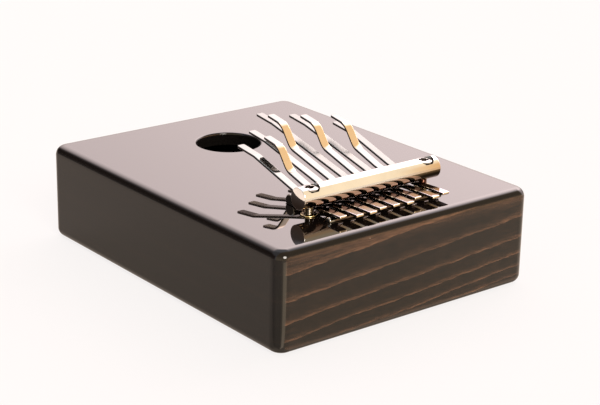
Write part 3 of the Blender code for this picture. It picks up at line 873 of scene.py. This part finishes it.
class KALIMBA_OT_bar_screws(bpy.types.Operator):
    """Make the two domed screws that pull the bar down"""

    bl_idname = "kalimba.bar_screws"
    bl_label = "Bar screws"

    def execute(self, context):
        clamp = context.scene.kalimba_clamp
        steel = finish("screw_plating", screw_metal, clamp)
        shaded_recess = finish("shaded_recess", recess_metal, clamp)
        for side, turn in zip(SIDES, RECESS_TURNS):
            node = f"bar_screw_{side}"
            place = middle(node)
            low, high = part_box(node)
            seat = BAR.z + BAR_RADIUS - clamp.spot_face_depth + context.scene.kalimba_box.clearance
            radius = (high.x - low.x) / 2
            dome = clamp.head_height - clamp.head_rim
            profile = [(clamp.shank / 2, low.z)]
            profile += threaded(clamp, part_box(f"screw_insert_{side}")[1].z, BAR.z - BAR_RADIUS)
            profile += [(clamp.shank / 2, seat), (radius, seat)]
            arc = rounded(1, (0, 0), 0, 90, 2 * EDGE_STEPS)[:-1]
            profile += [(radius * out, seat + clamp.head_rim + dome * up) for out, up in arc]
            piece = make_piece(f"domed_screw_{side}", turned(profile, place), steel)
            for quarter in (0, 90):
                arm = recess_arm(clamp, place, seat + clamp.head_height, math.radians(turn + quarter))
                cut_away(piece, arm, shaded_recess)
            even_shading(piece)
            settle(piece, "screw_steel", node)
        return {"FINISHED"}


class KALIMBA_OT_screw_inserts(bpy.types.Operator):
    """Make the flanged inserts that take the screws"""

    bl_idname = "kalimba.screw_inserts"
    bl_label = "Screw inserts"

    def execute(self, context):
        clamp = context.scene.kalimba_clamp
        brass = finish("insert_brass", turned_brass, clamp)
        bore = clamp.shank / 2 + context.scene.kalimba_box.clearance
        for side in SIDES:
            node = f"screw_insert_{side}"
            place = middle(node)
            low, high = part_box(node)
            flange, under = (high.x - low.x) / 2, high.z - clamp.flange_thickness
            ease = clamp.flange_thickness / 3
            profile = [(bore + clamp.insert_wall, low.z), (bore + clamp.insert_wall, under), (flange, under)]
            profile += rounded(ease, (flange - ease, high.z - ease), 0, 90)
            piece = make_piece(f"brass_insert_{side}", turned(profile, place), brass)
            hole = ((bore, low.z - CUT_MARGIN), (bore, high.z + CUT_MARGIN))
            cut_away(piece, turned(hole, place), brass)
            even_shading(piece)
            settle(piece, "brass", node)
        return {"FINISHED"}


class KALIMBA_OT_bridges(bpy.types.Operator):
    """Make the two bridge rods under the tines"""

    bl_idname = "kalimba.bridges"
    bl_label = "Bridges"

    def execute(self, context):
        clamp = context.scene.kalimba_clamp
        steel = finish("bridge_steel", bridge_metal, clamp)
        for node in BRIDGES:
            sides = extent(node)
            built = rod(middle(node), sides.x, sides.z, clamp.bridge_end)
            piece = make_piece(f"{node}_rod", built, steel)
            settle(piece, "chrome", node)
        return {"FINISHED"}


# Bends of the tines. Slopes are in degrees above level, walking away from the bar.
REAR_BRIDGE_BEHIND = 0.0095
FRONT_BRIDGE_AHEAD = 0.0115
TAIL_SLOPE = 2.5
TAIL_BEND_RADIUS = 0.02
TAIL_END_SLOPE = 0.5
SEAT_SLOPE = 15.0
SET_PAST_BRIDGE = 0.003
SET_RADIUS = 0.02

# Steps of the playing ends: a straight has a length, a bend a radius and a new slope
STRAIGHT, BEND = "straight", "bend"
LONG_END = ((BEND, 0.008, 7.0), (STRAIGHT, 0.0095))
SHORT_END = ((BEND, 0.006, 53.0), (STRAIGHT, 0.0048), (BEND, 0.007, 9.0), (STRAIGHT, 0.0056))

# The least share of the edges' radius that is left where an end is rounded off
LEAST_EDGE = 0.05

# The slope of each blade, from left to right. Even-numbered tines have the short end.
BLADE_SLOPES = (15.8, 16.2, 13.7, 14.6, 13.2, 16.2, 13.6, 18.2, 16.7)


def slope_direction(slope):
    """The unit (y, z) step along a tine at this slope."""
    angle = math.radians(slope)
    return Vector((math.cos(angle), math.sin(angle)))


def slope_normal(slope):
    """The unit (y, z) direction out of a tine's upper face at this slope."""
    return slope_direction(slope + 90)


def walked(place, slope, steps):
    """(place, slope) stations along straights and bends, from a starting place and slope."""
    stations = [(place, slope)]
    for kind, size, *target in steps:
        if kind == STRAIGHT:
            parts = max(1, math.ceil(size / STRAIGHT_STEP))
            step = slope_direction(slope) * (size / parts)
            stations += [(place + step * part, slope) for part in range(1, parts + 1)]
        else:
            turn = target[0] - slope
            radius = math.copysign(size, turn)
            centre = place + slope_normal(slope) * radius
            parts = max(1, math.ceil(abs(turn) / ARC_STEP))
            bends = [slope + turn * part / parts for part in range(1, parts + 1)]
            stations += [(centre - slope_normal(bent) * radius, bent) for bent in bends]
        place, slope = stations[-1]
    return stations


def walked_to(reach, stations, end=()):
    """The stations carried straight on, then round the end steps, to this reach."""
    place, slope = stations[-1]
    end_run = walked(Vector((0, 0)), slope, end)[-1][0].x
    straight = (reach - place.x - end_run) / slope_direction(slope).x
    return stations + walked(place, slope, [(STRAIGHT, straight), *end])[1:]


def tine_path(tines, number):
    """(place, slope) stations of a tine's middle line from tail to tip, from the bar's axis."""
    low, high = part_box(f"tine_{number}")
    half = tines.thickness / 2
    wrap = BAR_RADIUS + tines.seat_gap + half
    leave = -wrap * slope_normal(TAIL_SLOPE)
    behind = walked(leave, TAIL_SLOPE, [
        (STRAIGHT, (REAR_BRIDGE_BEHIND - leave.x) / slope_direction(TAIL_SLOPE).x),
        (BEND, TAIL_BEND_RADIUS, TAIL_END_SLOPE),
    ])
    behind = walked_to(BAR.y - low.y, behind)
    tail = [(Vector((-place.x, place.y)), -slope) for place, slope in reversed(behind)]

    seat_run = FRONT_BRIDGE_AHEAD + SET_PAST_BRIDGE + wrap * slope_normal(SEAT_SLOPE).x
    ahead = walked(*tail[-1], [
        (BEND, wrap, SEAT_SLOPE),
        (STRAIGHT, seat_run / slope_direction(SEAT_SLOPE).x),
        (BEND, SET_RADIUS, BLADE_SLOPES[number - 1]),
    ])
    end = LONG_END if number % 2 else SHORT_END
    tip_slope = end[-2][-1]
    ahead = walked_to(high.y - BAR.y - half * slope_direction(tip_slope).y, ahead, end)
    return tail[:-1] + ahead


def cut_back(radius, inward):
    """How far a rounded corner stands back at this distance in from the end."""
    short = max(0.0, radius - inward)
    return radius - math.sqrt(radius * radius - short * short)


def eased_end(stations, corner, edge):
    """An end's (place, slope, loss of width, loss of thickness) stations, its corners and edges rounded."""
    place, slope = stations[0]
    towards = (stations[1][0] - place).normalized()
    eased = []
    shares = [1 - out for out, _ in rounded(1, (0, 0), 0, 90, SECTION_STEPS)]
    inwards = {edge * share for share in shares}
    inwards |= {corner * share for share in shares if corner * share > edge}
    for inward in sorted(inwards):
        loss = cut_back(edge, inward)
        eased.append((place + towards * inward, slope, cut_back(corner, inward) + loss, loss))
    return eased


def tine_rings(tines, number):
    """Sections of a tine from tail to tip, with rounded edges, corners and ends."""
    node = f"tine_{number}"
    width, thickness, edge = extent(node).x, tines.thickness, tines.edge
    path = tine_path(tines, number)
    tail = eased_end(path, tines.tail_corner, edge)
    tip = eased_end(path[::-1], tines.tip_corner, edge)
    first, last = tail[-1][0], tip[-1][0]
    between = [(place, slope, 0.0, 0.0) for place, slope in path if first.x < place.x < last.x]
    x = middle(node).x
    rings = []
    for place, slope, narrower, thinner in tail + between + tip[::-1]:
        radius = max(edge - thinner, edge * LEAST_EDGE)
        outline = rounded_outline(width - 2 * narrower, thickness - 2 * thinner, radius, SECTION_STEPS)
        normal = slope_normal(slope)
        rings.append([(x + across, *(Vector(BAR.yz) + place + normal * up)) for across, up in outline])
    return rings


class KALIMBA_OT_tines(bpy.types.Operator):
    """Make the nine bent tines"""

    bl_idname = "kalimba.tines"
    bl_label = "Tines"

    def execute(self, context):
        tines = context.scene.kalimba_tines
        steel = finish("tine_steel", strip_steel, tines)
        for number in range(1, TINE_COUNT + 1):
            node = f"tine_{number}"
            built = loft(tine_rings(tines, number))
            piece = make_piece(f"sprung_tine_{number}", built, steel, TINE_SMOOTH_ANGLE)
            even_shading(piece)
            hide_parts(node)
            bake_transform(piece)
        return {"FINISHED"}


# The key light's faded edge and its full strength, as shares of its spread
KEY_EDGE = (1.2, 0.9)

# Ways over the floor from the near left corner, to a painted light patch and a painted dim one that only
# reflections show, which the corner mirrors
GLINT_WAY = Vector((-0.216, -0.976, 0.0))
GLINT_WIDTH = (0.95, 0.99)
GLINT_REACH = (0.07, 0.12)
SHADE_WAY = Vector((-0.966, -0.259, 0.0))
SHADE_WIDTH = (0.72, 0.86)

# Where along Y the floor in front of the box begins
FRONT_FLOOR = (-0.095, -0.06)


def studio_dome(start, stage):
    """Light by direction: white above, a big soft light behind, a warm room in front, a dim left side."""
    direction = start.node("ShaderNodeTexCoord", output="Generated")
    x, y, z = axes_of(direction)
    heading = stage.camera_heading
    away = x * -math.sin(heading) + y * math.cos(heading)
    across = x * math.cos(heading) + y * math.sin(heading)
    colour = mixed(rise(y, -0.08, -0.03), stage.front_light, stage.overhead)
    back = mixed(rise(z, 0.05, 0.50), stage.back_low, stage.back_light)
    level = (1.16 + across * 1.15) * (1.0 + rise(z, 0.38, 0.60) * 0.4)
    back = vector_math("SCALE", back, level, key="Scale")
    colour = mixed(rise(away, 0.25, 0.60) * fall(z, 0.66, 0.86), colour, back)
    left = fall(across, -0.75, -0.45) * fall(z, 0.45, 0.70) * rise(y, -0.10, 0.15)
    colour = mixed(left, colour, mixed(rise(z, 0.0, 0.18), stage.left_low, stage.left_light))
    key = aligned(direction, Vector(stage.key_side).normalized())
    spread = [math.cos(stage.key_spread * share) for share in KEY_EDGE]
    colour = mixed(rise(key, *spread), colour, stage.key_light)
    seen = start.node("ShaderNodeLightPath", output="Is Camera Ray")
    return start.node("ShaderNodeBackground", inputs={"Color": mixed(seen, colour, stage.paper)})


def pale_floor(start, stage):
    """White paper: it takes the object's shadow and shows white to the camera; gloss and metal see a painted
    reflection, warm, warmer and dimmer in front of the box, with a painted light patch and dim patch off the
    near left corner.
    """
    where = frame_place(start)
    camera = start.node("ShaderNodeLightPath", output="Is Camera Ray")
    mirrored = camera.out("Is Glossy Ray")
    front = mirrored * fall(axes_of(where)[1], *FRONT_FLOOR)
    white = mixed(noise(where, FINE_SCALE) * 0.03, stage.paper, stage.paper_tooth)
    # Painted reflection: gloss and metal see the floor warm, and warmer and dimmer in front of the box
    white = mixed(mirrored, white, stage.mirrored_paper)
    white = mixed(front, white, stage.front_light)

    corner = extent("sound_box") * -0.5
    corner.z = 0.0
    from_corner = vector_math("SUBTRACT", where, corner)
    distance = vector_math("LENGTH", from_corner, output="Value")
    way = vector_math("NORMALIZE", from_corner)
    glint = rise(aligned(way, GLINT_WAY), *GLINT_WIDTH) * fall(distance, *GLINT_REACH)
    shade = rise(aligned(way, SHADE_WAY), *SHADE_WIDTH)
    level = (1.0 - front * 0.36) * (1.0 + mirrored * (glint * 2.4 - shade * 0.5))
    white = vector_math("SCALE", white, level, key="Scale")
    glow = start.node("ShaderNodeEmission", inputs={"Color": white})
    matt = start.node("ShaderNodeBsdfDiffuse", inputs={"Color": (*stage.paper_shade, 1.0)})
    seen = start.math("MAXIMUM", mirrored, camera.out("Is Transmission Ray"))
    seen = start.math("MAXIMUM", seen * 0.8, camera * 0.9)
    return start.node("ShaderNodeMixShader", inputs={0: seen, 1: matt, 2: glow})


# The sensor's width in millimetres, the floor's reach from its middle and its drop below the box
SENSOR = 36.0
FLOOR_REACH = 4.0
FLOOR_DROP = 0.0002


class KALIMBA_OT_stage(bpy.types.Operator):
    """Make the floor, the soft light and the camera"""

    bl_idname = "kalimba.stage"
    bl_label = "Stage"

    def execute(self, context):
        stage = context.scene.kalimba_stage
        floor = bmesh.new()
        bmesh.ops.create_grid(floor, x_segments=1, y_segments=1, size=FLOOR_REACH)
        bmesh.ops.translate(floor, verts=floor.verts, vec=(0, 0, CAD_BOX[0][2] - FLOOR_DROP))
        make_piece("paper_floor", floor, finish("paper", pale_floor, stage))

        world = bpy.data.worlds.new("studio")
        world.use_nodes = True
        world.node_tree.nodes.clear()
        start = Wire(world.node_tree)
        start.node("ShaderNodeOutputWorld", inputs={"Surface": studio_dome(start, stage)})
        context.scene.world = world
        context.scene.view_settings.view_transform = "Standard"

        turn = Matrix.Rotation(stage.camera_heading, 4, "Z")
        turn @= Matrix.Rotation(math.pi / 2 - stage.camera_tilt, 4, "X")
        turn @= Matrix.Rotation(stage.camera_roll, 4, "Z")
        lens = bpy.data.cameras.new("photo_camera")
        lens.lens = stage.lens
        lens.sensor_width = SENSOR
        camera = bpy.data.objects.new("photo_camera", lens)
        camera.matrix_world = Matrix.Translation(stage.camera_place) @ turn
        context.scene.collection.objects.link(camera)
        context.scene.camera = camera
        return {"FINISHED"}


OPERATORS = (
    KALIMBA_OT_sound_box,
    KALIMBA_OT_hidden_wood,
    KALIMBA_OT_pressure_bar,
    KALIMBA_OT_bar_screws,
    KALIMBA_OT_screw_inserts,
    KALIMBA_OT_bridges,
    KALIMBA_OT_tines,
    KALIMBA_OT_stage,
)
SETTINGS = {
    "kalimba_box": KalimbaBox,
    "kalimba_clamp": KalimbaClamp,
    "kalimba_tines": KalimbaTines,
    "kalimba_stage": KalimbaStage,
}


class KALIMBA_PT_pieces(bpy.types.Panel):
    """Sizes, colours and the pieces that are made from them"""

    bl_label = "Kalimba"
    bl_space_type = "VIEW_3D"
    bl_region_type = "UI"
    bl_category = "Kalimba"

    def draw(self, context):
        for operator in OPERATORS:
            self.layout.operator(operator.bl_idname)
        for name, group in SETTINGS.items():
            column = self.layout.column()
            column.label(text=group.__doc__)
            for field in group.__annotations__:
                column.prop(getattr(context.scene, name), field)


def register():
    for group in (*SETTINGS.values(), *OPERATORS, KALIMBA_PT_pieces):
        bpy.utils.register_class(group)
    for name, group in SETTINGS.items():
        setattr(bpy.types.Scene, name, PointerProperty(type=group))


def unregister():
    for name in SETTINGS:
        delattr(bpy.types.Scene, name)
    for group in (KALIMBA_PT_pieces, *OPERATORS[::-1], *SETTINGS.values()):
        bpy.utils.unregister_class(group)


def main():
    """Makes every piece in order."""
    register()
    bpy.ops.kalimba.sound_box()
    bpy.ops.kalimba.hidden_wood()
    bpy.ops.kalimba.pressure_bar()
    bpy.ops.kalimba.bar_screws()
    bpy.ops.kalimba.screw_inserts()
    bpy.ops.kalimba.bridges()
    bpy.ops.kalimba.tines()
    bpy.ops.kalimba.stage()


if __name__ == "__main__":
    main()
